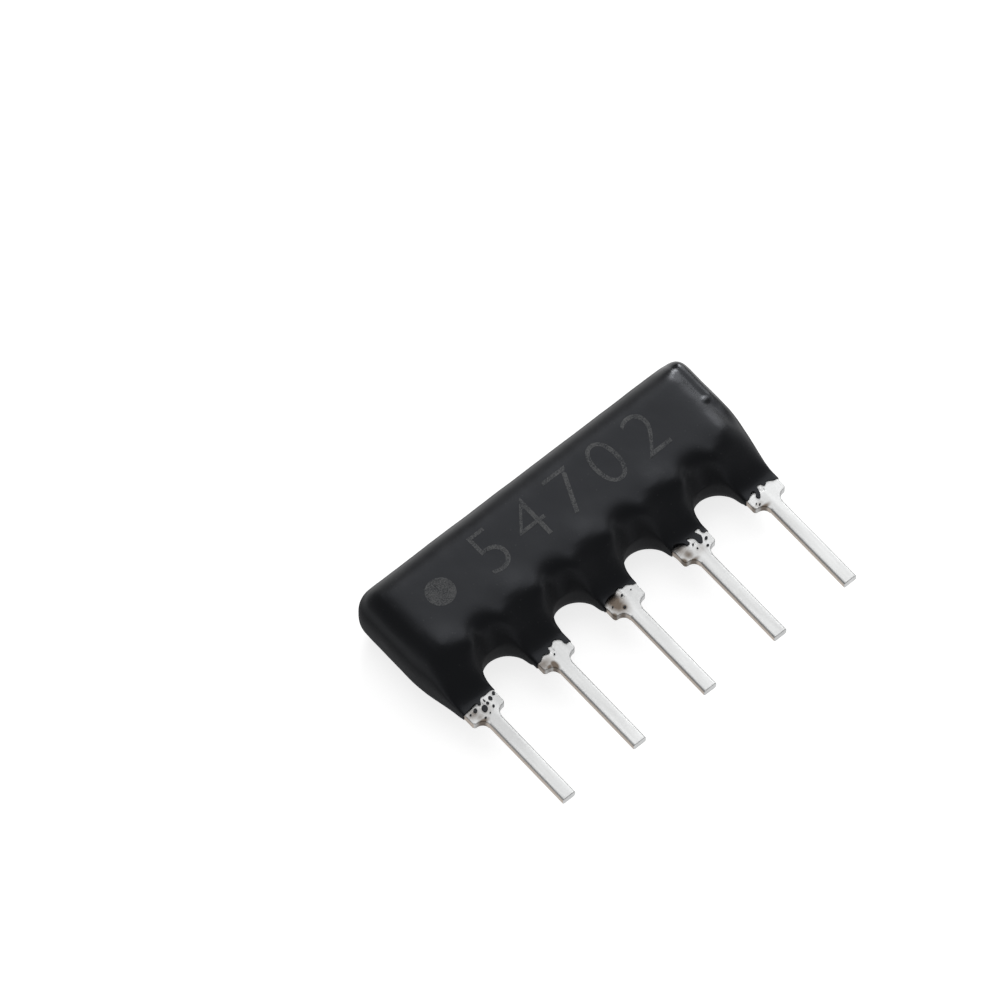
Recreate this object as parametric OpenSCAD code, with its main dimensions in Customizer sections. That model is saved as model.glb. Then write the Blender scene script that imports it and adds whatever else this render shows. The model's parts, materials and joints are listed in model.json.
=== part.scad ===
// Coated single-in-line resistor network with a row of flat clip leads, lying on its back.
// X runs along the lead row from lead 1, the leads point to -Y and the marked face looks to +Z.
// The origin is under the middle of the whole part, on the plane that the back of the coat lies on.
// Sizes are in millimetres.

/* [Lead row] */
// Number of leads in the row
lead_count = 5; // [3:1:10]
// Distance between the centre lines of neighbouring leads
lead_pitch = 2.54; // [2.1:0.02:3.6]
// Free length of a lead, from its cut tip to the underside of its shoulder
lead_length = 3.3; // [1.5:0.1:8]
// Width of the pin below the shoulder
lead_width = 0.45; // [0.35:0.01:0.6]
// Thickness of the strip that the leads are stamped from
lead_thickness = 0.25; // [0.18:0.01:0.32]
// Radius of the pin's tinned long edges
lead_edge_radius = 0.07; // [0.02:0.01:0.08]
// Width of the shoulder that stops the lead at the board
shoulder_width = 1.12; // [0.95:0.01:1.3]
// Radius of the shoulder's two lower corners
shoulder_corner = 0.1; // [0.03:0.01:0.15]
// Radius of the fillets between pin and shoulder
shoulder_fillet = 0.23; // [0.05:0.01:0.3]

/* [Clip] */
// Height of the shoulder's underside below the ceramic plate
shoulder_drop = 1.6; // [1.35:0.05:2.4]
// Height of the whole shoulder below the slit that parts the two prongs
slit_start = 0.32; // [0.15:0.01:0.4]
// Width of that slit
slit_width = 0.12; // [0.06:0.01:0.2]
// Height above the shoulder's underside up to which the front prong stays flat
front_flat = 0.85; // [0.6:0.05:0.95]
// Height over which the prongs narrow above the flat stretch
prong_taper = 0.4; // [0.2:0.05:0.6]
// Width of each prong where it grips the plate
prong_width = 0.38; // [0.3:0.01:0.42]
// Length of each prong's grip on the plate
prong_reach = 1.0; // [0.6:0.05:1.4]
// Inside radius of the prongs' bends
bend_radius = 0.15; // [0.08:0.01:0.2]
// Run-out from the plate's lower edge to the prongs' upper bends
plate_clearance = 0.03; // [0.01:0.01:0.08]

/* [Ceramic plate] */
// Height of the plate
plate_height = 2.9; // [2.5:0.05:5]
// Thickness of the plate
plate_thickness = 0.635; // [0.4:0.005:0.9]
// How far the plate runs past the centre lines of the end leads
plate_past_lead = 0.66; // [0.62:0.01:0.9]

/* [Printed circuit] */
// Thickness of one printed layer
film_thickness = 0.02; // [0.01:0.005:0.04]
// Width of conductor left bare around a solder fillet
pad_margin = 0.04; // [0.02:0.01:0.06]
// Height of the common conductor that runs along the plate's upper edge
bus_height = 0.35; // [0.2:0.05:0.5]
// Distance of the common conductor from the plate's upper edge
bus_inset = 0.15; // [0.05:0.01:0.3]
// Width of each printed resistor
resistor_width = 1.0; // [0.6:0.05:1.3]
// Length by which a resistor laps over its conductors
resistor_lap = 0.2; // [0.1:0.02:0.26]
// Width of the cut that trims a resistor to value
trim_width = 0.06; // [0.03:0.01:0.1]
// Depth of the first resistor's trim cut
trim_depth = 0.34; // [0.1:0.02:0.45]
// Change of the trim depth from one resistor to the next
trim_step = 0.04; // [0:0.01:0.08]
// Thickness of the glass layer over the resistors
glaze_thickness = 0.03; // [0.015:0.005:0.05]
// Reach of the glass layer past the resistors
glaze_margin = 0.08; // [0.04:0.01:0.12]

/* [Solder] */
// Reach of a solder fillet out from the prong on its pad
fillet_reach = 0.12; // [0.05:0.01:0.13]
// Depth of a fillet's crest below the top of the prong
fillet_drop = 0.04; // [0.01:0.01:0.08]
// Depth of the solder in the slit below the flats of the prongs
slit_recess = 0.03; // [0.01:0.01:0.05]
// Gap between solder and glass layer
solder_clearance = 0.05; // [0.02:0.01:0.1]

/* [Coat] */
// Coat over the printed face of the plate
coat_front = 0.85; // [0.7:0.05:1.2]
// Coat over the back of the plate
coat_back = 0.63; // [0.5:0.01:1]
// Depth of the flat that the coat has on its back, where the part lies
back_flat = 0.02; // [0.01:0.01:0.05]
// Coat over the upper edge of the plate
coat_top = 0.47; // [0.35:0.01:0.8]
// Coat over the end edges of the plate
coat_end = 0.17; // [0.12:0.01:0.4]
// Coat under the lower edge of the plate, at the crown of each arch
coat_bottom = 0.18; // [0.12:0.01:0.3]
// Thin coat on the flats of the leads where it runs out
coat_skin = 0.03; // [0.02:0.005:0.06]
// Height of shoulder that the coat leaves bare
bare_shoulder = 0.48; // [0.3:0.02:0.6]
// Outward taper of the coat's legs up to the arches
leg_taper = 0.02; // [0.01:0.005:0.05]
// Height over which the outer sides of the end legs spread to the full length
flare_height = 2.0; // [1.4:0.05:2.3]
// Depth of the rounding along the upper edge and the ends
edge_round = 0.95; // [0.6:0.05:1.2]
// Depth of the rounding along the arches beside the prongs
arch_round = 0.45; // [0.25:0.05:0.6]
// Depth of the gentle front slope between the prongs, up from each arch
arch_slope = 1.0; // [0.6:0.05:1.3]
// Depth of the bead at the foot of that slope
arch_bead = 0.15; // [0.05:0.01:0.2]
// Share of the coat's front that the bead makes up
bead_share = 0.25; // [0.2:0.01:0.4]
// Height above the plate's lower edge at which the slopes over the leads begin
slope_over_lead = 0.45; // [0.2:0.05:0.8]
// Height above the plate's lower edge at which the slopes over the arches begin
slope_over_arch = 0.05; // [0:0.01:0.15]
// Radius of the upper corner at lead 1
corner_first = 0.65; // [0.3:0.05:0.75]
// Radius of the upper corner at the last lead
corner_last = 0.6; // [0.3:0.05:0.75]
// Height of the gentle swell over each front prong
swell_height = 0.07; // [0.01:0.01:0.12]
// Reach of that swell
swell_reach = 0.45; // [0.3:0.01:0.6]

/* [Hidden] */
// Levels along Y, worked out from the cut tips upwards
part_height = lead_length + shoulder_drop + plate_height + coat_top;
tip_y = -part_height / 2;
shoulder_y = tip_y + lead_length;
slit_y = shoulder_y + slit_start;
leg_y = shoulder_y + bare_shoulder;
plate_y = shoulder_y + shoulder_drop;
plate_top_y = plate_y + plate_height;
top_y = plate_top_y + coat_top;
bend_end_y = plate_y - plate_clearance;
prong_end_y = plate_y + prong_reach;
glaze_y = prong_end_y + fillet_reach + solder_clearance;
resistor_y = glaze_y + glaze_margin;
pad_top_y = resistor_y + resistor_lap;
bus_top_y = plate_top_y - bus_inset;
bus_y = bus_top_y - bus_height;
resistor_top_y = bus_y + resistor_lap;

// Levels along Z, worked out from the back of the coat upwards
face_z = coat_back + plate_thickness;
mid_z = coat_back + plate_thickness / 2;
front_z = face_z + coat_front;

// Extents along X
row_half = (lead_count - 1) * lead_pitch / 2;
plate_half = row_half + plate_past_lead;
end_past_lead = plate_past_lead + coat_end;
body_half = row_half + end_past_lead;
prong_outer = slit_width / 2 + prong_width;
pad_outer = prong_outer + fillet_reach + pad_margin;
pad_inner = slit_width / 2 - fillet_reach - pad_margin;

// Offsets of the prongs' middle planes from the middle plane of the pin
front_rise = plate_thickness / 2 + film_thickness + lead_thickness / 2;
back_rise = plate_thickness / 2 + lead_thickness / 2;
bend_middle = bend_radius + lead_thickness / 2;

// Outline of the coat's legs and arches
leg_half = shoulder_width / 2 + coat_skin;
arch_radius = lead_pitch / 2 - leg_half - leg_taper;
crown_y = plate_y - coat_bottom;
arch_y = crown_y - arch_radius;
flare_y = leg_y + flare_height;

// Level above which all sections of the coat are divided alike
even_y = max(plate_y + slope_over_lead, flare_y + coat_skin);

// Half-thickness of the coat at its outline and at its full height, in front of and behind the pins
front_edge = lead_thickness / 2 + coat_skin;
back_drop = max(0, leg_y - slit_y) * tan(bend_angle(bend_end_y - slit_y, back_rise));
back_edge = front_edge + back_drop;
front_full = front_z - mid_z;
back_full = mid_z;

// The upper corners leave the skin's thickness of coat outside the corners of the plate
corner_room = coat_end + coat_top - coat_skin;
corner_limit = corner_room + sqrt(corner_room^2 - coat_end^2 - coat_top^2 + coat_skin^2);

// Fineness of the coat's loft and of the prongs' bends
lower_points = 13;
upper_points = 13;
flare_steps = 8;
arch_steps = 10;
leg_shares = [-1, -0.8, -0.45, 0, 0.45, 0.8, 1];
bend_steps = 6;
$fn = 32;

lead_numbers = [1 : lead_count];
resistor_numbers = [1 : lead_count - 1];

// Place of a lead's centre line
function lead_x(i) = (i - 1) * lead_pitch - row_half;

// Share from 0 to 1, eased in and out
function eased(share) = let (s = min(1, max(0, share))) s * s * (3 - 2 * s);

// Quarter-round rise from 0 at the outline to 1 at the given depth inside it
function rounded(distance, depth) = let (s = min(1, max(0, distance / depth))) sqrt(s * (2 - s));

// Gentle rise from 0 at the outline to 1 at the given depth inside it
function sloped(distance, depth) = let (s = min(1, max(0, distance / depth))) s * (2 - s);

// Angle of an S-shaped bend of two equal radii, from its run and its rise
function bend_angle(run, rise) =
    let (across = 2 * bend_middle - rise)
    asin(2 * bend_middle / norm([run, across])) - atan2(across, run);

// Middle line of a prong in Y and Z with its slope, from the slit to the prong's end.
// It leaves the pin's plane at start_y, and sign is 1 for the front prong and -1 for the back one.
function prong_line(start_y, rise, sign) =
    let (angle = bend_angle(bend_end_y - start_y, rise))
    concat(
        start_y > slit_y ? [[slit_y, 0, 0]] : [],
        [for (k = [0 : bend_steps])
            let (a = angle * k / bend_steps)
            [start_y + bend_middle * sin(a), sign * bend_middle * (1 - cos(a)), sign * a]],
        [for (k = [bend_steps : -1 : 0])
            let (a = angle * k / bend_steps)
            [bend_end_y - bend_middle * sin(a), sign * (rise - bend_middle * (1 - cos(a))), sign * a]],
        [[prong_end_y, sign * rise, 0]]
    );
front_line = prong_line(shoulder_y + front_flat, front_rise, 1);
back_line = prong_line(slit_y, back_rise, -1);

// A line moved sideways along its own normals
function beside(line, offset) =
    [for (p = line) [p[0] - offset * sin(p[2]), p[1] + offset * cos(p[2])]];
function reversed(list) = [for (k = [len(list) - 1 : -1 : 0]) list[k]];

// Half-width of an end leg at a share of the flare's height
function flare_half(share) =
    leg_half + (end_past_lead - leg_half) * eased(share);

// Distance of a point from the nearest lead's centre line
function from_lead(x) =
    let (i = min(lead_count, max(1, round((x + row_half) / lead_pitch) + 1)))
    abs(x - lead_x(i));

// Distance of a point inside the coat's outline from the upper edge and the ends
function corner_at(x) = min(corner_limit, x < 0 ? corner_first : corner_last);
function from_edge(x, y) =
    let (
        side = row_half + flare_half(min(1, max(0, (y - leg_y) / flare_height))) - abs(x),
        top = top_y - y,
        r = corner_at(x)
    )
    side < r && top < r ? r - norm([r - side, r - top]) : min(side, top);

// Distance of such a point from the arches, which lie only between leads
function from_arch(x, y) =
    let (dx = from_lead(x))
    abs(x) > row_half ? lead_pitch
    : y > arch_y ? norm([lead_pitch / 2 - dx, y - arch_y]) - arch_radius
    : leg_half + leg_taper * (y - leg_y) / (arch_y - leg_y) - dx;

// Share from 0 to 1 of the height up to which the coat slopes over leads and arches
function slope_share(x, y) =
    let (
        over_lead = (1 + cos(180 * min(1, 2 * from_lead(x) / lead_pitch))) / 2,
        slope_top = plate_y + slope_over_arch + (slope_over_lead - slope_over_arch) * over_lead
    )
    (y - leg_y) / (slope_top - leg_y);

// Share of the coat's full thickness that its roundings leave at a point
function round_share(x, y) =
    rounded(from_edge(x, y), edge_round) * rounded(from_arch(x, y), arch_round);

// The same for the front, which rises gently from a bead between the prongs
function front_share(x, y) =
    let (
        d = from_arch(x, y),
        between = eased((from_lead(x) - pad_outer) / (lead_pitch / 2 - pad_outer)),
        gentle = bead_share * rounded(d, arch_bead) + (1 - bead_share) * sloped(d, arch_slope)
    )
    rounded(from_edge(x, y), edge_round)
        * (rounded(d, arch_round) * (1 - between) + gentle * between);

// Swell of the front face over a prong
function swell(x, y) =
    let (
        across = from_lead(x) / swell_reach,
        along = (y - (plate_y + prong_end_y) / 2) / swell_reach
    )
    swell_height * exp(-across^2 - along^2);

// Upper outline of the coat
function outline_top(x) =
    let (
        r = corner_at(x),
        side = body_half - abs(x)
    )
    side < r ? top_y - r + sqrt(r^2 - (r - side)^2) : top_y;

// Stations of the loft along X, each with the Y of the lower outline there
function flare_station(side, share) =
    [side * (row_half + flare_half(share)), leg_y + share * flare_height];
function leg_stations(i) =
    [for (s = leg_shares)
        if (abs(s) < 1 || (i > 1 && s < 0) || (i < lead_count && s > 0))
            [lead_x(i) + s * leg_half, leg_y]];
function arch_stations(i) =
    [for (k = [0 : arch_steps])
        let (a = 180 * k / arch_steps)
        [lead_x(i) + lead_pitch / 2 - arch_radius * cos(a), arch_y + arch_radius * sin(a)]];
stations = concat(
    [for (k = [flare_steps : -1 : 0]) flare_station(-1, k / flare_steps)],
    [for (i = lead_numbers)
        each concat(leg_stations(i), i < lead_count ? arch_stations(i) : [])],
    [for (k = [0 : flare_steps]) flare_station(1, k / flare_steps)]
);

// Closed section of the coat at a station, up the front and down the back
function section(station) =
    let (
        x = station[0],
        low = station[1],
        high = outline_top(x),
        ys = concat(
            [for (k = [0 : lower_points - 1])
                low + (even_y - low) * (1 - cos(90 * k / lower_points))],
            [for (k = [0 : upper_points])
                even_y + (high - even_y) * sin(90 * k / upper_points)]
        )
    )
    concat(
        [for (y = ys)
            let (share = front_share(x, y) * eased(slope_share(x, y)))
            [x, y, mid_z + front_edge + (front_full - front_edge + swell(x, y)) * share]],
        [for (y = reversed(ys))
            let (share = round_share(x, y) * rounded(slope_share(x, y), 1))
            [x, y, max(0, mid_z - back_edge - (back_full + back_flat - back_edge) * share)]]
    );

// Loft through closed sections of equal length, each running up the front and down the back.
// Its ends are closed by strips from front to back.
module loft(sections) {
    size = len(sections[0]);
    last = (len(sections) - 1) * size;
    sides = [for (s = [0 : size : last - size], k = [0 : size - 1])
        let (
            a = s + k,
            b = s + (k + 1) % size
        )
        each [[a, b, a + size], [b, b + size, a + size]]];
    ends = [for (k = [0 : size / 2 - 2])
        let (
            a = k,
            b = size - 1 - k
        )
        each [
            [a, b, a + 1],
            [a + 1, b, b - 1],
            [last + a, last + a + 1, last + b],
            [last + a + 1, last + b - 1, last + b]
        ]];
    polyhedron([for (s = sections) each s], concat(sides, ends));
}

// Box between two corners
module block(low, high) {
    translate(low)
        cube(high - low);
}

// Outline in Y and Z, extruded along X
module along_x(from_x, to_x) {
    translate([from_x, 0, 0])
        rotate([90, 0, 90])
            linear_extrude(to_x - from_x)
                children();
}

module rounded_rectangle(width, height, r) {
    square([width - 2 * r, height], center = true);
    square([width, height - 2 * r], center = true);
    for (x = [-1, 1], y = [-1, 1])
        translate([x * (width / 2 - r), y * (height / 2 - r)])
            circle(r);
}

// Printed layer of the given height on the plate's face
module printed(low, high, thickness) {
    block([low[0], low[1], face_z], [high[0], high[1], face_z + thickness]);
}

// Plain pin with round edges, ending at the shoulder's fillets
module pin(fillet) {
    translate([0, shoulder_y - fillet, 0])
        rotate([90, 0, 0])
            linear_extrude(lead_length - fillet)
                rounded_rectangle(lead_width, lead_thickness, lead_edge_radius);
}

// Flat shoulder with its fillets, up to the slit
module shoulder(fillet) {
    side = shoulder_width / 2;
    neck = lead_width / 2;
    translate([0, 0, -lead_thickness / 2])
        linear_extrude(lead_thickness) {
            translate([-neck, shoulder_y - fillet])
                square([lead_width, fillet]);
            for (x = [-1, 1])
                scale([x, 1])
                    difference() {
                        translate([neck, shoulder_y - fillet])
                            square(fillet);
                        translate([neck + fillet, shoulder_y - fillet])
                            circle(fillet);
                    }
            difference() {
                translate([-side, shoulder_y])
                    square([shoulder_width, slit_start]);
                for (x = [-1, 1])
                    scale([x, 1])
                        difference() {
                            translate([side - shoulder_corner, shoulder_y])
                                square(shoulder_corner);
                            translate([side - shoulder_corner, shoulder_y + shoulder_corner])
                                circle(shoulder_corner);
                        }
            }
        }
}

// One prong, bent to its face of the plate and narrowed to its grip
module prong(line, side) {
    half = lead_thickness / 2;
    wide = shoulder_width / 2;
    inner = slit_width / 2;
    taper_y = shoulder_y + front_flat;
    intersection() {
        along_x(min(side * inner, side * wide), max(side * inner, side * wide))
            polygon(concat(beside(line, half), reversed(beside(line, -half))));
        translate([0, 0, -plate_thickness - lead_thickness])
            linear_extrude(2 * (plate_thickness + lead_thickness))
                polygon([
                    [0, slit_y],
                    [side * wide, slit_y],
                    [side * wide, taper_y],
                    [side * prong_outer, taper_y + prong_taper],
                    [side * prong_outer, prong_end_y],
                    [0, prong_end_y]
                ]);
    }
}

module lead() {
    fillet = min(shoulder_fillet, (shoulder_width - lead_width) / 2 - shoulder_corner);
    color("#d4d4d2") {
        pin(fillet);
        shoulder(fillet);
        prong(front_line, 1);
        prong(back_line, -1);
    }
}

// Solder in the slit between the prongs and round the foot of the front prong
module solder_joint() {
    inner = slit_width / 2;
    flat = lead_thickness / 2 - slit_recess;
    pad_z = plate_thickness / 2 + film_thickness;
    crest_z = front_rise + lead_thickness / 2 - fillet_drop;
    color("#c2c3c4") {
        along_x(-inner, inner)
            difference() {
                polygon(concat(beside(front_line, flat), reversed(beside(back_line, -flat))));
                translate([plate_y, -plate_thickness - lead_thickness])
                    square([plate_height, plate_thickness + lead_thickness + pad_z]);
                translate([plate_y + fillet_reach, pad_z])
                    square([plate_height, plate_thickness]);
            }
        difference() {
            hull() {
                block(
                    [inner - fillet_reach, plate_y, pad_z],
                    [prong_outer + fillet_reach, prong_end_y + fillet_reach, pad_z + film_thickness]
                );
                block([inner - film_thickness, plate_y, pad_z],
                    [prong_outer + film_thickness, prong_end_y + film_thickness, crest_z]);
            }
            block([inner, plate_y - lead_thickness, 0],
                [prong_outer, prong_end_y, front_rise + lead_thickness]);
        }
    }
}

module ceramic_plate() {
    color("#efece2")
        block([-plate_half, plate_y, coat_back], [plate_half, plate_top_y, face_z]);
}

// Conductor under a solder joint
module pad_print(i) {
    printed([lead_x(i) + pad_inner, plate_y], [lead_x(i) + pad_outer, pad_top_y], film_thickness);
}

module terminal_pad(i) {
    color("#b9b4a8")
        pad_print(i);
}

// Conductor along the plate's upper edge, brought down to the first lead
module common_conductor() {
    color("#b9b4a8") {
        pad_print(1);
        printed(
            [lead_x(1) + pad_inner, pad_top_y],
            [lead_x(1) + pad_outer, bus_y],
            film_thickness
        );
        printed(
            [lead_x(1) + pad_inner, bus_y],
            [lead_x(lead_count) + pad_outer, bus_top_y],
            film_thickness
        );
    }
}

// Middle of a printed resistor, over the pad of its lead and inside the end of the plate
function resistor_x(i) = min(
    lead_x(i + 1) + (pad_inner + pad_outer) / 2,
    plate_half - resistor_width / 2 - glaze_margin
);

// Cut that trims a resistor, from its side towards lead 1
module trim_cut(i) {
    middle_y = (pad_top_y + bus_y) / 2;
    depth = trim_depth + trim_step * (i - 1);
    left = resistor_x(i) - resistor_width / 2;
    printed(
        [left, middle_y - trim_width / 2],
        [left + depth, middle_y + trim_width / 2],
        2 * film_thickness + glaze_thickness
    );
}

// Resistor film, lying on the plate between its conductors and lapping over both of them
module resistor_print(i) {
    left = resistor_x(i) - resistor_width / 2;
    difference() {
        printed([left, resistor_y], [left + resistor_width, resistor_top_y], 2 * film_thickness);
        terminal_pad(i + 1);
        common_conductor();
    }
}

module resistor_film(i) {
    color("#26242a")
        difference() {
            resistor_print(i);
            trim_cut(i);
        }
}

// Body of the glass layer, still filling the space of all that it covers
module glaze_print() {
    side = resistor_width / 2 + glaze_margin;
    printed(
        [resistor_x(1) - side, glaze_y],
        [min(resistor_x(lead_count - 1) + side, plate_half), resistor_top_y + glaze_margin],
        2 * film_thickness + glaze_thickness
    );
}

module glass_overglaze() {
    color("#35574a")
        difference() {
            glaze_print();
            common_conductor();
            for (i = resistor_numbers) {
                terminal_pad(i + 1);
                resistor_print(i);
                trim_cut(i);
            }
        }
}

// Dipped coat, with the space of all that it encloses taken out
module epoxy_coating() {
    color("#1b1b1d")
        difference() {
            loft([for (s = stations) section(s)]);
            ceramic_plate();
            common_conductor();
            glaze_print();
            for (i = lead_numbers) {
                pad_print(i);
                at_lead(i)
                    lead();
                at_lead(i)
                    solder_joint();
            }
        }
}

// Puts a lead or its solder at its place in the row
module at_lead(i) {
    translate([lead_x(i), 0, mid_z])
        children();
}

epoxy_coating();
ceramic_plate();
common_conductor();
glass_overglaze();
for (i = [2 : lead_count])
    terminal_pad(i);
for (i = resistor_numbers)
    resistor_film(i);
for (i = lead_numbers)
    at_lead(i) lead();
for (i = lead_numbers)
    at_lead(i) solder_joint();
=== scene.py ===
"""Looks of a dipped resistor network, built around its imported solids.

Each piece is modelled in millimetres, because Blender's mesh tools are too coarse for a part of
this size in metres, and is brought to metres when it is finished.
"""

import json
import math

import bpy
from bpy.props import FloatProperty, FloatVectorProperty, IntProperty, PointerProperty, StringProperty
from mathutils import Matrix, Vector


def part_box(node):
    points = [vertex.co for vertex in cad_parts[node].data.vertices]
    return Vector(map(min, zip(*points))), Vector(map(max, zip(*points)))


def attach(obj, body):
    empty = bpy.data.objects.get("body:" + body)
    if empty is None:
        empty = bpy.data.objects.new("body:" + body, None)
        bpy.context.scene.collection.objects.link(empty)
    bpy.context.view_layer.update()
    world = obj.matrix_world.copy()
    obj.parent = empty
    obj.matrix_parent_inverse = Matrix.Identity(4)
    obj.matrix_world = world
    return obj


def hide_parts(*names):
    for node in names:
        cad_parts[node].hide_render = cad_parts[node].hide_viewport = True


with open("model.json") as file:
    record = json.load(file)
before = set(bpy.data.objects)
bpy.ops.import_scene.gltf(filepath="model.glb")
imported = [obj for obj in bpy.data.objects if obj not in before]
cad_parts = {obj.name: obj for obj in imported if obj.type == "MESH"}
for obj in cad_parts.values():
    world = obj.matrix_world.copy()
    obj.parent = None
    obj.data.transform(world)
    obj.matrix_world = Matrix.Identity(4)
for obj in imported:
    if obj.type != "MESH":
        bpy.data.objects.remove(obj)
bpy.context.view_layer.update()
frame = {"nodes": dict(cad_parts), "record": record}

bl_info = {
    "name": "Dipped resistor network",
    "version": (1, 0, 0),
    "blender": (4, 5, 0),
    "location": "3D View > Sidebar > Network",
    "description": "Builds the coat, leads, solder and marking of a resistor network",
    "category": "Object",
}

MM = 0.001

# Fine distances in millimetres: points that are merged, and the start of a sight line off a face
MERGE_DISTANCE = 0.0002
SIGHT_START = 0.002

# Places in millimetres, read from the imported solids
LEAD_NAMES = sorted(n for n in frame["nodes"] if n.startswith("lead_"))
JOINT_NAMES = sorted(n for n in frame["nodes"] if n.startswith("solder_joint_"))
ROW = next(m for m in frame["record"]["mounts"] if m["name"] == "lead_row")
SHOULDER_Y, MIDDLE_Z = ROW["pos_m"][1] / MM, ROW["pos_m"][2] / MM
COAT_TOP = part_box("epoxy_coating")[1].z / MM
TIP_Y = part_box(LEAD_NAMES[0])[0].y / MM
LEAD_X = {name: sum(corner.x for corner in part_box(name)) / 2 / MM for name in LEAD_NAMES}
FIRST_X, LAST_X = LEAD_X[LEAD_NAMES[0]], LEAD_X[LEAD_NAMES[-1]]
ARCH_X = [(LEAD_X[a] + LEAD_X[b]) / 2 for a, b in zip(LEAD_NAMES, LEAD_NAMES[1:])]

# Lower edge of the coat on each lead, left to right: aside of the lead's centre, above its shoulder
EDGES = (
    ((-.56, .43), (-.32, .46), (-.13, .49), (-.07, .46), (-.06, .40), (.00, .38), (.04, .44), (.08, .50),
     (.155, .54), (.25, .52), (.49, .53), (.55, .50)),
    ((-.58, .31), (-.42, .32), (-.345, .37), (-.26, .41), (-.19, .38), (-.12, .35), (-.05, .38), (-.02, .50),
     (.095, .485), (.225, .57), (.345, .52), (.405, .45), (.41, .35), (.45, .27), (.49, .27)),
    ((-.595, .38), (-.56, .45), (-.42, .555), (-.27, .59), (-.08, .59), (.06, .64), (.18, .57), (.30, .58),
     (.42, .51), (.51, .445), (.57, .455)),
    ((-.63, .54), (-.56, .585), (-.44, .63), (-.30, .585), (-.18, .49), (-.165, .43), (-.12, .405),
     (-.05, .42), (-.06, .52), (-.02, .55), (.03, .53), (.13, .44), (.15, .26), (.21, .20), (.275, .25),
     (.335, .395), (.30, .49), (.27, .58), (.35, .61), (.43, .60), (.42, .50), (.46, .41), (.51, .40)),
    ((-.63, .42), (-.54, .37), (-.40, .42), (-.235, .49), (-.20, .43), (-.275, .29), (-.22, .215),
     (-.15, .265), (-.08, .42), (-.045, .53), (.02, .545), (.075, .52), (.13, .43), (.19, .44), (.255, .48),
     (.46, .38)),
)

# Flecks of coat left on the bare metal of each lead: aside, above, half width, half height
FLECKS = (
    ((-.243, .326, .058, .062), (0, .212, .098, .092), (.167, .288, .042, .042), (.145, .412, .012, .05),
     (.317, .355, .046, .075), (.483, .414, .045, .055), (.233, .117, .038, .038), (.031, .02, .02, .02),
     (-.167, -.014, .03, .026), (-.43, .307, .028, .03)),
    ((-.017, .236, .024, .026),),
    ((.024, .407, .038, .03), (-.405, .295, .03, .02), (-.155, .08, .045, .035), (.329, .383, .016, .016)),
    ((.393, .24, .048, .042), (-.012, .319, .026, .03), (.007, .157, .022, .024), (.279, .043, .04, .03)),
    ((-.345, .067, .03, .022), (-.405, .145, .02, .02)),
)

# Stains and painted shade (in the hollows of the left lobes and under the shoulders) on the tin of each lead:
# aside, above, half width, half height, darkness
STAINS_AND_SHADE = (
    ((-.36, .28, .16, .14, .45), (-.27, .11, .10, .08, .4), (-.32, -.06, .16, .07, .8),
     (.0, .2, .16, .15, .25)),
    ((-.44, .20, .22, .14, .5), (-.226, -.02, .075, .13, 1), (-.36, .04, .10, .06, .7),
     (-.58, .02, .05, .1, .6)),
    ((-.25, .33, .20, .32, .75), (-.17, .10, .09, .10, .8), (-.54, .06, .08, .1, .7),
     (-.40, -.06, .14, .06, .8)),
    ((-.37, .44, .16, .20, .5), (-.32, .19, .11, .14, .6), (-.55, .08, .09, .1, .8),
     (-.36, -.06, .16, .06, .8), (.05, .10, .14, .12, .2)),
    ((-.60, .05, .07, .1, .7), (-.36, -.07, .18, .06, .9), (-.35, .08, .09, .06, .35)),
)


# Handling of objects

def pick(*objects):
    """Selects only these objects, in object mode, with the first one active."""
    if bpy.context.object and bpy.context.object.mode != "OBJECT":
        bpy.ops.object.mode_set(mode="OBJECT")
    bpy.ops.object.select_all(action="DESELECT")
    for obj in objects:
        obj.select_set(True)
    bpy.context.view_layer.objects.active = objects[0]


def resize(obj, factor):
    """Scales an object about the origin and applies it."""
    pick(obj)
    obj.scale = (factor, factor, factor)
    obj.location *= factor
    bpy.ops.object.transform_apply(location=True, rotation=True, scale=True)


def modify(obj, kind, **settings):
    """Adds a modifier with these settings and applies it."""
    pick(obj)
    modifier = obj.modifiers.new(kind.title(), kind)
    for name, value in settings.items():
        setattr(modifier, name, value)
    bpy.ops.object.modifier_apply(modifier=modifier.name)


def edit(obj, *steps):
    """Runs edit-mode steps on everything that the object's mesh has selected."""
    pick(obj)
    bpy.ops.object.mode_set(mode="EDIT")
    for step in steps:
        step()
    bpy.ops.object.mode_set(mode="OBJECT")


def select_faces(obj, chosen):
    """Selects only the chosen faces of a mesh, for the next edit."""
    bpy.context.tool_settings.mesh_select_mode = (False, False, True)
    for parts in (obj.data.vertices, obj.data.edges):
        parts.foreach_set("select", [False] * len(parts))
    obj.data.polygons.foreach_set("select", chosen)


def merge():
    """Joins the loose triangles of a copied solid."""
    bpy.ops.mesh.select_all(action="SELECT")
    bpy.ops.mesh.remove_doubles(threshold=MERGE_DISTANCE)


def copy_of(node, name):
    """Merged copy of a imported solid, in millimetres."""
    obj = bpy.data.objects.new(name, frame["nodes"][node].data.copy())
    bpy.context.scene.collection.objects.link(obj)
    obj.data.materials.clear()
    resize(obj, 1 / MM)
    edit(obj, merge)
    pick(obj)
    bpy.ops.mesh.customdata_custom_splitnormals_clear()
    return obj


def soften(obj, voxel, rounds):
    """Turns a closed form into an even mesh and rounds its edges."""
    modify(obj, "REMESH", mode="VOXEL", voxel_size=voxel)
    modify(obj, "SMOOTH", factor=0.5, iterations=rounds)


def clouds(name, size):
    """Soft cloudy texture for uneven surfaces, with patches of the given size."""
    texture = bpy.data.textures.new(name, "CLOUDS")
    texture.noise_scale = size
    texture.noise_depth = 2
    return texture


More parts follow.
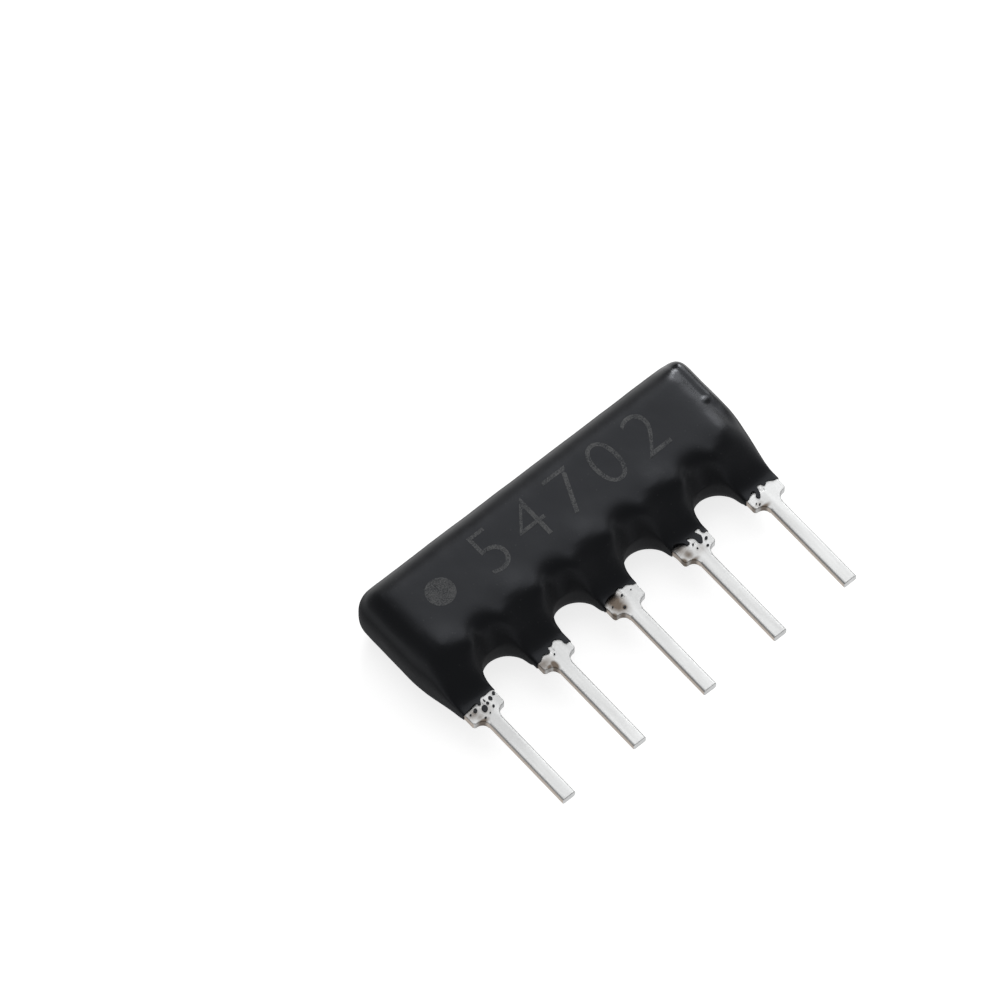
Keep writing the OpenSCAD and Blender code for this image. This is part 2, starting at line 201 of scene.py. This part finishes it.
def complete(obj, material, slot, *nodes):
    """Brings a finished piece to metres, shades it smooth, gives it its material, sets it under the root body
    and hides the solids that it replaces.
    """
    resize(obj, MM)
    bpy.ops.object.shade_smooth()
    obj.data.materials.clear()
    obj.data.materials.append(material)
    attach(obj, "root")
    if nodes:
        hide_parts(*nodes)


def blob(place, size):
    """Small flattened ball."""
    bpy.ops.mesh.primitive_ico_sphere_add(subdivisions=3, radius=1, location=place)
    obj = bpy.context.object
    obj.scale = size
    bpy.ops.object.transform_apply(location=True, rotation=True, scale=True)
    return obj


def join(name, objects):
    """Joins objects into one."""
    pick(*objects)
    bpy.ops.object.join()
    bpy.context.object.name = name
    return bpy.context.object


# Materials

SHADER_NAMES = {
    "base": "Base Color",
    "metallic": "Metallic",
    "roughness": "Roughness",
    "specular": "Specular IOR Level",
    "tint": "Specular Tint",
}

# Sockets of a mix of colours: the two colours, and the result
FIRST_COLOUR, SECOND_COLOUR, MIXED_COLOUR = 6, 7, 2

# Stains and painted shade on the tin, which fade out at so many times their half size
STAIN_AND_SHADE_COLOUR = (0.13, 0.105, 0.085, 1.0)
STAIN_AND_SHADE_FADE = 2

# Shine of the epoxy, also where it is marked
EPOXY_SPECULAR = 0.3
EPOXY_TINT = (0.87, 0.91, 1.0, 1.0)

# Where the epoxy thins at the right end, in millimetres, and how far up a lip faces as it grows steep
THIN_X, THIN_Y = (4.8, 5.3), (1.9, 2.4)
STEEP_Z = (0.62, 0.35)


class Finish:
    """Material with a principled shader and short ways to add its patterns."""

    def __init__(self, name):
        self.material = bpy.data.materials.new(name)
        self.material.use_nodes = True
        self.tree = self.material.node_tree
        self.shader = self.tree.nodes["Principled BSDF"]
        self.place = self.add("ShaderNodeTexCoord").outputs["Object"]

    def add(self, kind, **settings):
        """Adds a node with these settings."""
        node = self.tree.nodes.new(kind)
        for name, value in settings.items():
            setattr(node, name, value)
        return node

    def feed(self, socket, value):
        """Links an output to a socket, or sets a plain value on it."""
        if isinstance(value, bpy.types.NodeSocket):
            self.tree.links.new(value, socket)
        else:
            socket.default_value = value

    def set(self, **sockets):
        """Feeds sockets of the shader by their short names."""
        for name, value in sockets.items():
            self.feed(self.shader.inputs[SHADER_NAMES[name]], value)

    def stretched(self, scale):
        """Place on the piece, stretched by a scale along each axis."""
        mapping = self.add("ShaderNodeMapping")
        self.feed(mapping.inputs["Vector"], self.place)
        mapping.inputs["Scale"].default_value = scale
        return mapping.outputs["Vector"]

    def noise(self, grains, detail=3.0, place=None):
        """Noise with this many grains to the millimetre."""
        node = self.add("ShaderNodeTexNoise")
        self.feed(node.inputs["Vector"], place or self.place)
        node.inputs["Scale"].default_value = grains / MM
        node.inputs["Detail"].default_value = detail
        return node.outputs["Fac"]

    def specks(self, cells):
        """Distance from scattered points, with this many cells to the millimetre."""
        node = self.add("ShaderNodeTexVoronoi")
        self.feed(node.inputs["Vector"], self.place)
        node.inputs["Scale"].default_value = cells / MM
        return node.outputs["Distance"]

    def painted(self, name):
        """Values painted on the mesh under a name."""
        return self.add("ShaderNodeAttribute", attribute_name=name).outputs["Fac"]

    def along(self, axis, kind="Object"):
        """One coordinate of the place on the piece, or of the direction that its surface faces."""
        parts = self.add("ShaderNodeSeparateXYZ")
        self.feed(parts.inputs[0], self.add("ShaderNodeTexCoord").outputs[kind])
        return parts.outputs[axis]

    def between(self, value, low, high, to_low=0.0, to_high=1.0):
        """Share of a value between two limits, on another scale."""
        node = self.add("ShaderNodeMapRange")
        self.feed(node.inputs["Value"], value)
        limits = {"From Min": low, "From Max": high, "To Min": to_low, "To Max": to_high}
        for name, number in limits.items():
            node.inputs[name].default_value = number
        return node.outputs["Result"]

    def mixed(self, share, first, second):
        """Mix of two colours."""
        node = self.add("ShaderNodeMix", data_type="RGBA")
        self.feed(node.inputs["Factor"], share)
        self.feed(node.inputs[FIRST_COLOUR], first)
        self.feed(node.inputs[SECOND_COLOUR], second)
        return node.outputs[MIXED_COLOUR]

    def sum(self, operation, first, second):
        """Result of one sum on two values."""
        node = self.add("ShaderNodeMath", operation=operation)
        self.feed(node.inputs[0], first)
        self.feed(node.inputs[1], second)
        return node.outputs[0]

    def bump(self, height, depth):
        """Relief of the given depth in millimetres."""
        node = self.add("ShaderNodeBump")
        self.feed(node.inputs["Height"], height)
        node.inputs["Distance"].default_value = depth * MM
        self.feed(self.shader.inputs["Normal"], node.outputs["Normal"])


def grey(value):
    """Neutral colour."""
    return (value, value, value, 1.0)


def shade(colour, share=1.0):
    """A colour, or a darker shade of it."""
    return (*(share * part for part in colour[:3]), 1.0)


def epoxy_finish(colour):
    """Black epoxy with patches and dust, dull on steep lips and glossy where it thins at the right end."""
    finish = Finish("black_dipped_epoxy")
    patches = finish.noise(0.9, 4.0)
    grain = finish.noise(22.0, 2.0)
    dust = finish.between(finish.specks(4.0), 0.05, 0.12, 1.0, 0.0)
    base = finish.mixed(patches, shade(colour, 0.7), shade(colour))
    dullness = finish.between(patches, 0.3, 0.7, 0.38, 0.44)
    thin = finish.sum("MULTIPLY", finish.between(finish.along(0), *(x * MM for x in THIN_X), 0.0, 0.16),
                      finish.between(finish.along(1), *(y * MM for y in THIN_Y)))
    steep = finish.between(finish.along(2, "Normal"), *STEEP_Z, 0.0, 0.4)
    finish.set(base=finish.mixed(finish.sum("MULTIPLY", dust, 0.4), base, grey(0.03)),
               specular=EPOXY_SPECULAR, tint=EPOXY_TINT,
               roughness=finish.sum("SUBTRACT", finish.sum("ADD", dullness, steep), thin))
    finish.bump(grain, 0.002)
    return finish.material


def tin_finish(colour, bare):
    """Tin with soft streaks along the lead, stains and painted shade, painted shade on its right edges, and
    bare metal on the left sides, darker and browner partly as a painted reflection.
    """
    finish = Finish("satin_tin_plate")
    streaks = finish.noise(3.0, 3.0, finish.stretched((1.0, 0.1, 1.0)))
    grain = finish.noise(30.0, 2.0)
    tin = finish.mixed(finish.between(streaks, 0.35, 0.65), shade(colour, 0.8), shade(colour))
    ragged = finish.sum("MULTIPLY", finish.noise(7.0, 3.0), 0.25)
    # Bare stamped metal on the left side faces, darker and browner than the tin, partly as a painted
    # reflection
    bare_and_brown_reflection = finish.between(finish.sum("SUBTRACT", ragged, finish.along(0, "Normal")), 0.8, 1.06)
    # Painted shade: the tin turns darker on its right edges and right side faces
    right_edge_shade = finish.between(finish.along(0, "Normal"), 0.05, 0.5, 0.0, 0.6)
    plate = finish.mixed(bare_and_brown_reflection, finish.mixed(right_edge_shade, tin, shade(colour, 0.5)), shade(bare))
    blotches = finish.between(ragged, 0, 0.2, 0.7, 1.2)
    # Stains and painted shade: the painted patches darken the tin, in part as shade in hollows and under the
    # shoulders
    stain_and_shade = finish.between(finish.sum("MULTIPLY", finish.painted("stain_and_shade"), blotches), 0.0, 0.65)
    finish.set(base=finish.mixed(stain_and_shade, plate, STAIN_AND_SHADE_COLOUR), metallic=1.0,
               roughness=finish.between(grain, 0.3, 0.7, 0.42, 0.52))
    finish.bump(grain, 0.002)
    return finish.material


def solder_finish(colour):
    """Solder in dull and bright patches."""
    finish = Finish("dull_solder")
    patches = finish.noise(8.0, 3.0)
    finish.set(base=finish.mixed(patches, shade(colour, 0.7), shade(colour)), metallic=1.0,
               roughness=finish.between(patches, 0.3, 0.7, 0.25, 0.45))
    finish.bump(patches, 0.01)
    return finish.material


def mark_finish(colour, coat):
    """Coat roughened to a pale grey in ragged grains."""
    finish = Finish("grey_burnt_marking")
    grains = finish.noise(24.0, 3.0)
    gaps = finish.noise(3.5, 2.0)
    share = finish.between(finish.sum("ADD", grains, finish.sum("MULTIPLY", gaps, 0.5)), 0.55, 0.9)
    finish.set(base=finish.mixed(share, shade(coat), shade(colour)), specular=EPOXY_SPECULAR,
               tint=EPOXY_TINT, roughness=finish.between(share, 0.0, 1.0, 0.4, 0.55))
    finish.bump(grains, 0.002)
    return finish.material


def fired_finish(name, colour, roughness, grains=12.0, metallic=0.0):
    """Finish of a fired or printed layer inside the coat."""
    finish = Finish(name)
    patches = finish.noise(grains, 3.0)
    finish.set(base=finish.mixed(patches, shade(colour, 0.85), shade(colour)), metallic=metallic,
               roughness=finish.between(patches, 0.3, 0.7, roughness, roughness + 0.1))
    finish.bump(patches, 0.003)
    return finish.material


# Settings

class CoatSettings(bpy.types.PropertyGroup):
    """Dipped coat"""
    colour: FloatVectorProperty(name="Colour", description="Colour of the epoxy", subtype="COLOR",
                                default=(0.0022, 0.0023, 0.0027))
    voxel: FloatProperty(name="Mesh size", description="Size of the coat's faces in millimetres",
                         default=0.045)
    rounds: IntProperty(name="Smoothing", description="Rounds of smoothing over the dipped form", default=10)
    body_rounds: IntProperty(name="Body smoothing", description="Further rounds above the legs", default=30)
    waviness: FloatProperty(name="Waviness", description="Height of the coat's slow waves in millimetres",
                            default=0.025)


class LeadSettings(bpy.types.PropertyGroup):
    """Tinned leads and solder"""
    colour: FloatVectorProperty(name="Tin colour", description="Colour of the tin plate", subtype="COLOR",
                                default=(0.61, 0.615, 0.615))
    # Bare stamped metal of the left sides, its darker brown partly a painted reflection
    bare: FloatVectorProperty(name="Bare colour", description="Colour of the stamped sides", subtype="COLOR",
                              default=(0.47, 0.41, 0.36))
    solder: FloatVectorProperty(name="Solder colour", description="Colour of the solder", subtype="COLOR",
                                default=(0.68, 0.68, 0.67))
    voxel: FloatProperty(name="Mesh size", description="Size of the leads' faces in millimetres",
                         default=0.014)
    rounds: IntProperty(name="Smoothing", description="Rounds of smoothing of the tin", default=7)


class MarkSettings(bpy.types.PropertyGroup):
    """Marking on the front face"""
    text: StringProperty(name="Value code", description="Plain digits of the value code", default="54702")
    height: FloatProperty(name="Digit height", description="Height of the digits in millimetres",
                          default=1.54)
    pitch: FloatProperty(name="Digit pitch", description="Distance between digits in millimetres",
                         default=1.396)
    dot: FloatProperty(name="Dot size", description="Diameter of the dot at lead 1 in millimetres",
                       default=0.875)
    colour: FloatVectorProperty(name="Colour", description="Colour of the burnt marking", subtype="COLOR",
                                default=(0.072, 0.072, 0.07))


class StageSettings(bpy.types.PropertyGroup):
    """Floor, light and camera"""
    azimuth: FloatProperty(name="Azimuth", description="Direction of the camera round the part",
                           subtype="ANGLE", default=math.radians(-40.7))
    elevation: FloatProperty(name="Elevation", description="Height of the camera above the horizon",
                             subtype="ANGLE", default=math.radians(62))
    distance: FloatProperty(name="Distance", description="Distance of the camera", unit="LENGTH", default=0.4)
    frame_width: FloatProperty(name="Frame width", description="Width of the picture at the part",
                               unit="LENGTH", default=0.0274)
    aside: FloatVectorProperty(name="Aim",
                               description="Aim of the camera to the right of and above the origin",
                               size=2, unit="LENGTH", default=(-0.003033, 0.002838))


# Pieces

def see_out(obj):
    """Whether each face can be reached from straight above or straight below."""
    graph = bpy.context.evaluated_depsgraph_get()
    graph.update()
    open_faces = []
    for face in obj.data.polygons:
        start = face.center + SIGHT_START * face.normal
        hits = [obj.ray_cast(start, Vector((0, 0, way)), depsgraph=graph)[0] for way in (1, -1)]
        open_faces.append(not all(hits))
    return open_faces


def close_rims():
    """Fills the open rims of a mesh and turns its faces outwards."""
    bpy.ops.mesh.select_all(action="DESELECT")
    bpy.ops.mesh.select_mode(type="EDGE")
    bpy.ops.mesh.select_non_manifold(extend=False, use_multi_face=False, use_verts=False)
    bpy.ops.mesh.fill()
    bpy.ops.mesh.select_all(action="SELECT")
    bpy.ops.mesh.normals_make_consistent(inside=False)


def ease(value, start, reach):
    """Smooth step from 0 to 1 over a reach."""
    share = min(1, max(0, (value - start) / reach))
    return share * share * (3 - 2 * share)


def crown(value, reach):
    """Height of a curve that rises from 0 and levels out at 1 over a reach."""
    share = min(1, value / reach)
    return share * (2 - share)


def weighted(obj, name, weight):
    """Vertex group with a weight worked out from each vertex's place."""
    group = obj.vertex_groups.new(name=name)
    for vertex in obj.data.vertices:
        share = min(1.0, max(0.0, weight(vertex.co)))
        if share:
            group.add([vertex.index], share, "REPLACE")
    return group.name


def swell(obj, name, place, radius, height):
    """Raises a soft round swelling of the given height from a surface."""
    place = Vector(place)
    group = weighted(obj, name, lambda co: (1 - min(1, (co - place).length_squared / radius ** 2)) ** 2)
    modify(obj, "DISPLACE", strength=height, mid_level=0, vertex_group=group)


def weigh(obj, name, patches):
    """Paints soft round patches (aside, above, half width, half height, weight) of one lead on a mesh."""
    layer = obj.data.attributes.new(name, "FLOAT", "POINT")
    for vertex, value in zip(obj.data.vertices, layer.data):
        value.value = 0
        for x, y, wide, high, weight in patches:
            off = ((vertex.co.x - x) / wide) ** 2 + ((vertex.co.y - y) / high) ** 2
            if off < STAIN_AND_SHADE_FADE ** 2:
                value.value = max(value.value, weight * (1 - off / STAIN_AND_SHADE_FADE ** 2) ** 2)


def outline(name, loops, half_depth=0.7, steps=6):
    """Flat outline through rounded loops of points, as a solid bar along Z."""
    bpy.ops.curve.primitive_bezier_curve_add(location=(0, 0, MIDDLE_Z))
    bar = bpy.context.object
    bar.name = name
    bar.data.dimensions, bar.data.fill_mode = "2D", "BOTH"
    bar.data.extrude, bar.data.resolution_u = half_depth, steps
    bar.data.splines.clear()
    for points, corners in loops:
        spline = bar.data.splines.new("BEZIER")
        spline.use_cyclic_u = True
        spline.bezier_points.add(len(points) + len(corners) - 1)
        for k, (point, place) in enumerate(zip(spline.bezier_points, (*points, *corners))):
            point.co = (*place, 0)
            point.handle_left_type = point.handle_right_type = "AUTO" if k < len(points) else "VECTOR"
    pick(bar)
    bpy.ops.object.convert(target="MESH")
    bar = bpy.context.object
    bpy.ops.object.transform_apply(location=True, rotation=True, scale=True)
    edit(bar, merge, lambda: bpy.ops.mesh.normals_make_consistent(inside=False))
    return bar


class NETWORK_OT_coat(bpy.types.Operator):
    """Dips the network: the coat's outer skin, smoothed, with its uneven edges over the leads"""
    bl_idname = "network.coat"
    bl_label = "Dipped coat"

    skin = 0.155                 # half depth of the thin coat over a shoulder
    half = 0.60                  # half width of the thin coat
    low, high = -0.16, 0.75      # lower and upper end of the thin coat, above the shoulder
    cut_half, cut_depth = 0.85, 0.5   # half width of the cut over a shoulder, and its depth below it
    arch_radius = 0.66           # radius of an arch between two leads
    crown_y = 0.585              # height of the arches' crowns
    bead_most = 0.3              # most that is taken off the coat above an arch
    bead_share = 0.25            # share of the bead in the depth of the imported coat's front
    bead_reach = 0.15            # breadth of the bead round an arch
    packed_reach = 1.0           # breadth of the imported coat's slope round an arch
    slope_reach = 0.9            # breadth of the slope that is left round an arch
    lip_reach = 1.25             # how far round an arch the coat changes
    rise = 0.2                   # rise of the right edge, which is fuller than the left one
    rise_start = (5.35, 0.9, 0.9)     # where the rise starts along each axis
    rise_reach = (0.45, 1.0, 0.6)     # how far it takes to its full height along each axis
    rise_shift = 0.1                  # shift of its start outwards near the leads
    shift_y, shift_reach = 2.4, 1.2   # where that shift starts, and how far down it takes
    nib_place = (5.43, 2.30, 2.05)
    nib_radius, nib_height = 0.17, 0.035
    body_low, body_reach = 0.7, 0.5   # start of the smoother body above the shoulder, and how far it takes
    wave_size = 1.2                   # size of the coat's slow waves
    fleck_points = 6                  # points round a fleck
    fleck_uneven = 0.14               # how far they go in and out
    fleck_phase = (5, 2.3)            # step of that from fleck to fleck, and from point to point
    crease = math.radians(40)         # edges over this angle stay sharp

    def lip(self, place):
        """Share of the bead that is taken off the front of the coat between leads, near an arch."""
        if place.z < MIDDLE_Z + self.skin or not FIRST_X < place.x < LAST_X:
            return 0
        aside = min(abs(place.x - x) for x in ARCH_X)
        reach = math.hypot(aside, place.y - self.crown_y + self.arch_radius) - self.arch_radius
        if not 0 < reach < self.lip_reach:
            return 0
        bead = self.bead_share * math.sqrt(crown(reach, self.bead_reach))
        packed = bead + (1 - self.bead_share) * crown(reach, self.packed_reach)
        between = ease(self.arch_radius - aside, 0, self.arch_radius)
        return (packed - crown(reach, self.slope_reach)) * between / self.bead_most

    def full_end(self, place):
        """Share of the rise of the coat's right edge at a place."""
        shift = self.rise_shift * min(1, max(0, (self.shift_y - place.y) / self.shift_reach))
        inward = (place.x - shift, place.y, place.z)
        return math.prod(map(ease, inward, self.rise_start, self.rise_reach))

    def hem(self, x):
        """Thin coat over one shoulder, down to its lowest fleck."""
        middle_y = SHOULDER_Y + (self.low + self.high) / 2
        bpy.ops.mesh.primitive_cube_add(size=1, location=(x, middle_y, MIDDLE_Z))
        block = bpy.context.object
        block.scale = (2 * self.half, self.high - self.low, 2 * self.skin)
        bpy.ops.object.transform_apply(location=True, rotation=True, scale=True)
        return block

    def bare(self, name, edge, flecks):
        """What is cut off the coat over one shoulder: all below its edge but the flecks."""
        x = LEAD_X[name]
        points = [(x + a, SHOULDER_Y + h) for a, h in edge]
        left, right, foot = x - self.cut_half, x + self.cut_half, SHOULDER_Y - self.cut_depth
        ends = [(right, points[-1][1]), (right, foot), (left, foot), (left, points[0][1])]
        loops = [(points, ends)]
        by_fleck, by_point = self.fleck_phase
        for k, (a, h, wide, high) in enumerate(flecks):
            ring = []
            for j in range(self.fleck_points):
                turn = math.tau * j / self.fleck_points
                # a little in and out, so that no two flecks are alike
                reach = 1 + self.fleck_uneven * math.sin(by_fleck * k + by_point * j)
                ring.append((x + a + wide * reach * math.cos(turn),
                             SHOULDER_Y + h + high * reach * math.sin(turn)))
            loops.append((ring, []))
        return outline("bare_" + name, loops)

    def execute(self, context):
        settings = context.scene.network_coat
        coat = copy_of("epoxy_coating", "dipped_coat")
        select_faces(coat, [not seen for seen in see_out(coat)])
        edit(coat, lambda: bpy.ops.mesh.delete(type="FACE"), close_rims)
        coat = join("dipped_coat", [coat, *(self.hem(LEAD_X[name]) for name in LEAD_NAMES)])
        soften(coat, settings.voxel, settings.rounds)
        lips = weighted(coat, "lips", self.lip)
        modify(coat, "DISPLACE", strength=-self.bead_most, mid_level=0, direction="Z", vertex_group=lips)
        body = weighted(coat, "body", lambda co: (co.y - SHOULDER_Y - self.body_low) / self.body_reach)
        modify(coat, "SMOOTH", factor=0.5, iterations=settings.body_rounds, vertex_group=body)
        modify(coat, "DISPLACE", texture=clouds("slow_waves", self.wave_size), strength=settings.waviness,
               mid_level=0.5, texture_coords="LOCAL")
        end = weighted(coat, "right_end", self.full_end)
        modify(coat, "DISPLACE", strength=self.rise, mid_level=0, direction="Z", vertex_group=end)
        swell(coat, "nib", self.nib_place, self.nib_radius, self.nib_height)
        cut = join("bare_metal", [self.bare(*shoulder) for shoulder in zip(LEAD_NAMES, EDGES, FLECKS)])
        modify(coat, "BOOLEAN", object=cut, operation="DIFFERENCE", solver="MANIFOLD")
        bpy.data.objects.remove(cut)
        complete(coat, epoxy_finish(settings.colour), "dipped_epoxy", "epoxy_coating")
        bpy.ops.object.shade_smooth_by_angle(angle=self.crease)
        return {"FINISHED"}


class NETWORK_OT_leads(bpy.types.Operator):
    """Softens the stamped leads as their tin plate does"""
    bl_idname = "network.leads"
    bl_label = "Tinned leads"

    fill_place = (-0.01, 0.47, 0.06)    # middle of the tin in the slit, from the lead's middle and shoulder
    fill_size = (0.13, 0.26, 0.066)     # half sizes of the tin in the slit

    def execute(self, context):
        settings = context.scene.network_leads
        tin = tin_finish(settings.colour, settings.bare)
        for node, stains_and_shade in zip(LEAD_NAMES, STAINS_AND_SHADE):
            lead = copy_of(node, "tinned_" + node)
            x = LEAD_X[node]
            fill = blob(Vector(self.fill_place) + Vector((x, SHOULDER_Y, MIDDLE_Z)), self.fill_size)
            lead = join(lead.name, [lead, fill])
            soften(lead, settings.voxel, settings.rounds)
            # Paints this lead's stains and its painted shade
            weigh(lead, "stain_and_shade", [(x + a, SHOULDER_Y + h, *rest) for a, h, *rest in stains_and_shade])
            complete(lead, tin, "tinned_lead", node)
        return {"FINISHED"}


class NETWORK_OT_solder(bpy.types.Operator):
    """Rounds the solder between the prongs and on the pads"""
    bl_idname = "network.solder"
    bl_label = "Solder"

    def execute(self, context):
        settings = context.scene.network_leads
        solder = solder_finish(settings.solder)
        for node in JOINT_NAMES:
            joint = copy_of(node, node.replace("joint", "fillet"))
            soften(joint, settings.voxel, settings.rounds)
            complete(joint, solder, "solder", node)
        return {"FINISHED"}


class NETWORK_OT_marking(bpy.types.Operator):
    """Marks the front face with a value code and a dot at lead 1"""
    bl_idname = "network.marking"
    bl_label = "Marking"

    middle_u = 5.72      # middle of the digits, along the row from lead 1
    middle_v = 6.61      # height of the marking above the cut tips
    dot_u = 1.07         # middle of the dot, along the row from lead 1
    lift = 0.003         # height of the marking over the coat
    thinning = -0.036    # inset of the digits' strokes
    digit_share = 0.729  # height of a digit as a share of the font's size
    drop = 1.0           # height over the coat from which the marking is laid on it
    dot_points = 40      # points round the dot
    cuts = 3             # cuts along each edge of a flat outline, so that it follows the coat
    crease = math.radians(30)   # edges over this angle stay sharp

    def lay(self, obj, coat, name, finish):
        """Lays a flat outline on the coat as a thin film."""
        pick(obj)
        bpy.ops.object.convert(target="MESH")
        obj = bpy.context.object
        obj.name = name
        bpy.ops.object.transform_apply(location=True, rotation=True, scale=True)
        edit(obj, merge,
             bpy.ops.mesh.quads_convert_to_tris,
             lambda: bpy.ops.mesh.subdivide(number_cuts=self.cuts))
        modify(obj, "SHRINKWRAP", target=coat, wrap_method="PROJECT", use_project_z=True,
               use_negative_direction=True, use_positive_direction=True, offset=self.lift)
        modify(obj, "SOLIDIFY", thickness=self.lift, offset=-1)
        complete(obj, finish, "dipped_epoxy")
        bpy.ops.object.shade_smooth_by_angle(angle=self.crease)

    def execute(self, context):
        settings = context.scene.network_mark
        finish = mark_finish(settings.colour, context.scene.network_coat.colour)
        coat = bpy.data.objects.new("coat_in_millimetres", bpy.data.objects["dipped_coat"].data.copy())
        context.scene.collection.objects.link(coat)
        resize(coat, 1 / MM)
        high = COAT_TOP + self.drop
        for k, digit in enumerate(settings.text):
            x = FIRST_X + self.middle_u + (k - (len(settings.text) - 1) / 2) * settings.pitch
            bpy.ops.object.text_add(location=(x, TIP_Y + self.middle_v, high))
            text = bpy.context.object
            text.data.body = digit
            text.data.size = settings.height / self.digit_share
            text.data.offset = self.thinning
            text.data.align_x = "CENTER"
            text.data.align_y = "CENTER"
            self.lay(text, coat, f"marking_digit_{k + 1}", finish)
        bpy.ops.mesh.primitive_circle_add(vertices=self.dot_points, radius=settings.dot / 2,
                                          fill_type="TRIFAN",
                                          location=(FIRST_X + self.dot_u, TIP_Y + self.middle_v, high))
        self.lay(bpy.context.object, coat, "marking_dot", finish)
        bpy.data.objects.remove(coat)
        return {"FINISHED"}


class NETWORK_OT_inside(bpy.types.Operator):
    """Gives the plate and the printed layers inside the coat their fired finishes"""
    bl_idname = "network.inside"
    bl_label = "Plate and prints"

    def execute(self, context):
        finishes = {
            "ceramic_plate": fired_finish("fired_alumina", (0.82, 0.79, 0.72), 0.6),
            "common_conductor": fired_finish("fired_conductor", (0.60, 0.57, 0.52), 0.4, metallic=1.0),
            "resistor_film": fired_finish("fired_resistor", (0.035, 0.035, 0.04), 0.5),
            "glass_overglaze": fired_finish("fired_glass", (0.09, 0.2, 0.15), 0.15),
        }
        finishes["terminal_pad"] = finishes["common_conductor"]
        for node, obj in frame["nodes"].items():
            for kind, material in finishes.items():
                if node.startswith(kind):
                    obj.data.materials.clear()
                    obj.data.materials.append(material)
        return {"FINISHED"}


class NETWORK_OT_stage(bpy.types.Operator):
    """Sets up the pale floor, the soft light and the camera"""
    bl_idname = "network.stage"
    bl_label = "Stage"

    floor_size = 1.2     # in metres
    floor_colour = 0.5   # grey that takes the light and the shadow
    floor_lift = 0.78    # glow that makes the lit floor white
    room_light = 0.32    # light from all round
    floor_dullness = 0.9
    nearest = 0.01       # nearest that the camera sees, in metres

    # Soft boxes: name, place and size in millimetres, power in watts
    lamps = (
        ("key_box", (92, 107, 265), (260, 260), 0.29),
        ("end_box", (240, 150, 115), (100, 170), 0.22),
        ("corner_box", (190, 205, 115), (60, 110), 0.3),
        ("fill_box", (270, -72, 100), (150, 120), 0.045),
    )

    def seen(self, tree):
        """Share of the rays that show a thing as itself: straight, mirrored or through glass."""
        path = tree.nodes.new("ShaderNodeLightPath")
        share = path.outputs["Is Camera Ray"]
        for name in ("Is Glossy Ray", "Is Transmission Ray"):
            most = tree.nodes.new("ShaderNodeMath")
            most.operation = "MAXIMUM"
            tree.links.new(share, most.inputs[0])
            tree.links.new(path.outputs[name], most.inputs[1])
            share = most.outputs[0]
        return share

    def floor(self):
        """White floor that keeps the part's shadow."""
        bpy.ops.mesh.primitive_plane_add(size=self.floor_size, location=(0, 0, 0))
        floor = bpy.context.object
        floor.name = "floor"
        material = bpy.data.materials.new("pale_floor")
        material.use_nodes = True
        tree = material.node_tree
        shader = tree.nodes["Principled BSDF"]
        shader.inputs["Base Color"].default_value = grey(self.floor_colour)
        shader.inputs["Roughness"].default_value = self.floor_dullness
        shader.inputs["Specular IOR Level"].default_value = 0.0
        lift = tree.nodes.new("ShaderNodeMath")
        lift.operation = "MULTIPLY"
        lift.inputs[1].default_value = self.floor_lift
        tree.links.new(self.seen(tree), lift.inputs[0])
        shader.inputs["Emission Color"].default_value = grey(1.0)
        tree.links.new(lift.outputs[0], shader.inputs["Emission Strength"])
        floor.data.materials.append(material)

    def lamp(self, name, place, size, power):
        """Soft box at a place in millimetres, turned to the part."""
        bpy.ops.object.light_add(type="AREA", location=Vector(place) * MM)
        lamp = bpy.context.object
        lamp.name = name
        lamp.data.shape = "RECTANGLE"
        lamp.data.size, lamp.data.size_y = (s * MM for s in size)
        lamp.data.energy = power
        lamp.rotation_euler = (-lamp.location).to_track_quat("-Z", "Y").to_euler()

    def camera(self, settings):
        """Camera aimed beside the part, as the picture is framed."""
        a, e = settings.azimuth, settings.elevation
        right = Vector((math.cos(a), math.sin(a), 0))
        back = Vector((math.sin(a) * math.cos(e), -math.cos(a) * math.cos(e), math.sin(e)))
        up = back.cross(right)
        target = settings.aside[0] * right + settings.aside[1] * up
        bpy.ops.object.camera_add(location=target + settings.distance * back)
        camera = bpy.context.object
        camera.rotation_euler = back.to_track_quat("Z", "Y").to_euler()
        camera.data.lens = camera.data.sensor_width * settings.distance / settings.frame_width
        camera.data.clip_start = self.nearest
        bpy.context.scene.camera = camera

    def execute(self, context):
        settings = context.scene.network_stage
        self.floor()
        world = bpy.data.worlds.new("soft_room")
        world.use_nodes = True
        light = world.node_tree.nodes["Background"].inputs
        light["Color"].default_value = grey(1.0)
        light["Strength"].default_value = self.room_light
        context.scene.world = world
        for lamp in self.lamps:
            self.lamp(*lamp)
        self.camera(settings)
        context.scene.view_settings.view_transform = "Standard"
        return {"FINISHED"}


# Panel and registration

OPERATORS = (NETWORK_OT_coat, NETWORK_OT_leads, NETWORK_OT_solder, NETWORK_OT_marking,
             NETWORK_OT_inside, NETWORK_OT_stage)
SETTINGS = {"network_coat": CoatSettings, "network_leads": LeadSettings,
            "network_mark": MarkSettings, "network_stage": StageSettings}


class NETWORK_PT_panel(bpy.types.Panel):
    """Lists the pieces of the network in the order in which they are made"""
    bl_label = "Resistor network"
    bl_idname = "NETWORK_PT_panel"
    bl_space_type = "VIEW_3D"
    bl_region_type = "UI"
    bl_category = "Network"

    def draw(self, context):
        for operator in OPERATORS:
            self.layout.operator(operator.bl_idname)


def register():
    for cls in (*SETTINGS.values(), *OPERATORS, NETWORK_PT_panel):
        bpy.utils.register_class(cls)
    for name, cls in SETTINGS.items():
        setattr(bpy.types.Scene, name, PointerProperty(type=cls))


def unregister():
    for name in SETTINGS:
        delattr(bpy.types.Scene, name)
    for cls in (NETWORK_PT_panel, *reversed(OPERATORS), *SETTINGS.values()):
        bpy.utils.unregister_class(cls)


def main():
    register()
    bpy.ops.network.coat()
    bpy.ops.network.leads()
    bpy.ops.network.solder()
    bpy.ops.network.marking()
    bpy.ops.network.inside()
    bpy.ops.network.stage()


if __name__ == "__main__":
    main()
